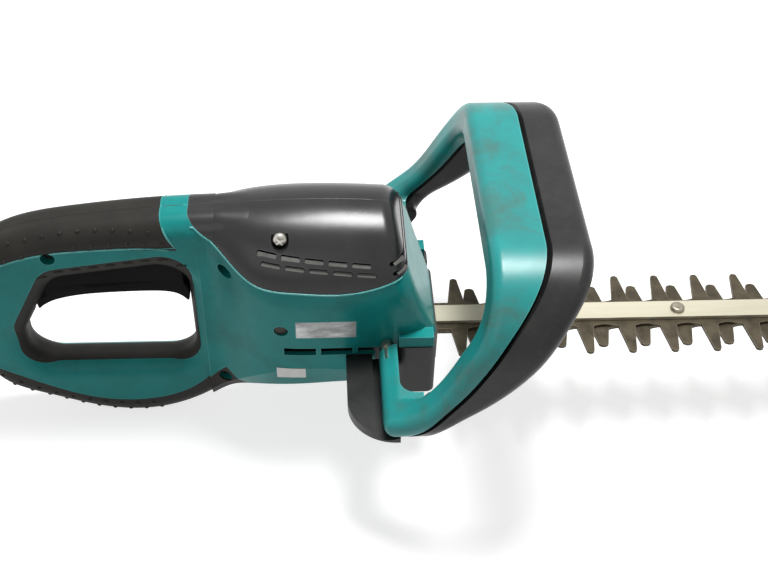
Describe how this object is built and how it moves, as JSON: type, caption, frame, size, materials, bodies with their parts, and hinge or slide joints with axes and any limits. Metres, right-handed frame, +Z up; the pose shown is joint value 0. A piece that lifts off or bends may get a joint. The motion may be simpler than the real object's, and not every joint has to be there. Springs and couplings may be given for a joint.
{
  "type": "electric hedge trimmer",
  "caption": "Corded electric hedge trimmer with a double-sided reciprocating blade, a closed rear handle with a long trigger and a hoop front handle with a switch bar.",
  "frame": {"origin": "root of the blade at the front of the gear case, on the middle plane, between the two cutting plates", "axes": "+X forward along the blade, +Y to the tool's left, +Z up"},
  "size_m": [0.861, 0.2276, 0.1872],
  "materials": {
    "teal_plastic": "satin moulded",
    "black_plastic": "satin moulded",
    "black_rubber": "matt overmoulded",
    "dark_casting": "black painted casting",
    "blade_steel": "ground, oiled and stained",
    "bright_steel": "bright",
    "copper_brass": "turned",
    "carbon": "pressed carbon",
    "plate": "blank foil"
  },
  "bodies": {
    "body": {"blade_nut_1": "bright_steel", "blade_nut_2": "bright_steel", "blade_nut_3": "bright_steel", "blade_nut_4": "bright_steel", "blade_nut_5": "bright_steel", "blade_nut_6": "bright_steel", "blade_screw_1": "bright_steel", "blade_screw_2": "bright_steel", "blade_screw_3": "bright_steel", "blade_screw_4": "bright_steel", "blade_screw_5": "bright_steel", "blade_screw_6": "bright_steel", "brush_carrier": "black_plastic", "brush_holders": "copper_brass", "carbon_brushes": "carbon", "case_screws": "bright_steel", "cord_gland": "black_plastic", "cover_screw": "bright_steel", "crank_lower_bearing": "bright_steel", "crank_upper_bearing": "bright_steel", "fan_shroud": "black_plastic", "front_handle_frame": "black_plastic", "front_switch": "black_plastic", "gear_case": "dark_casting", "gear_case_cover": "dark_casting", "guide_bar": "bright_steel", "housing_screws": "bright_steel", "left_grip_pad": "black_rubber", "left_handle_liner": "black_rubber", "left_housing": "teal_plastic", "left_lower_strip": "black_rubber", "left_motor_cover": "black_plastic", "motor_field": "bright_steel", "rating_plate": "plate", "rear_switch": "black_plastic", "right_grip_pad": "black_rubber", "right_handle_liner": "black_rubber", "right_housing": "teal_plastic", "right_lower_strip": "black_rubber", "right_motor_cover": "black_plastic", "rotor_lower_bearing": "bright_steel", "rotor_upper_bearing": "bright_steel", "switch_bar_pins": "bright_steel", "switch_bar_springs": "bright_steel", "trigger_pin": "bright_steel", "trigger_spring": "bright_steel"},
    "trigger": {"rear_trigger": "black_plastic"},
    "switch_bar": {"front_switch_bar": "teal_plastic"},
    "upper_blade": {"upper_blade": "blade_steel"},
    "lower_blade": {"lower_blade": "blade_steel"},
    "rotor": {"rotor_shaft": "bright_steel", "rotor_core": "bright_steel", "commutator": "copper_brass", "cooling_fan": "black_plastic"},
    "crank": {"crank_shaft": "bright_steel", "crank_gear": "bright_steel", "upper_cam": "bright_steel", "lower_cam": "bright_steel"}
  },
  "joints": [
    {"name": "trigger_swing", "type": "hinge", "parent": "body", "child": "trigger", "pos_m": [-0.165, 0, 0.067], "axis": [0, 1, 0], "range_deg": [0, 3], "stiffness_Nm_per_rad": 1.5, "springref_deg": -11.46},
    {"name": "switch_bar_swing", "type": "hinge", "parent": "body", "child": "switch_bar", "pos_m": [-0.035, 0, 0.0195], "axis": [0, 1, 0], "range_deg": [0, 1], "stiffness_Nm_per_rad": 8, "springref_deg": -2.86},
    {"name": "upper_blade_slide", "type": "slide", "parent": "body", "child": "upper_blade", "axis": [1, 0, 0], "range_m": [-0.005, 0.005]},
    {"name": "lower_blade_slide", "type": "slide", "parent": "body", "child": "lower_blade", "axis": [1, 0, 0], "range_m": [-0.005, 0.005]},
    {"name": "rotor_spin", "type": "hinge", "parent": "body", "child": "rotor", "pos_m": [-0.083, 0, 0], "axis": [0, 0, 1], "continuous": true},
    {"name": "crank_spin", "type": "hinge", "parent": "body", "child": "crank", "pos_m": [-0.048, 0, 0], "axis": [0, 0, 1], "continuous": true}
  ],
  "couplings": [
    {"joint": "lower_blade_slide", "follows": "upper_blade_slide", "ratio": -1},
    {"joint": "crank_spin", "follows": "rotor_spin", "ratio": -0.25}
  ]
}
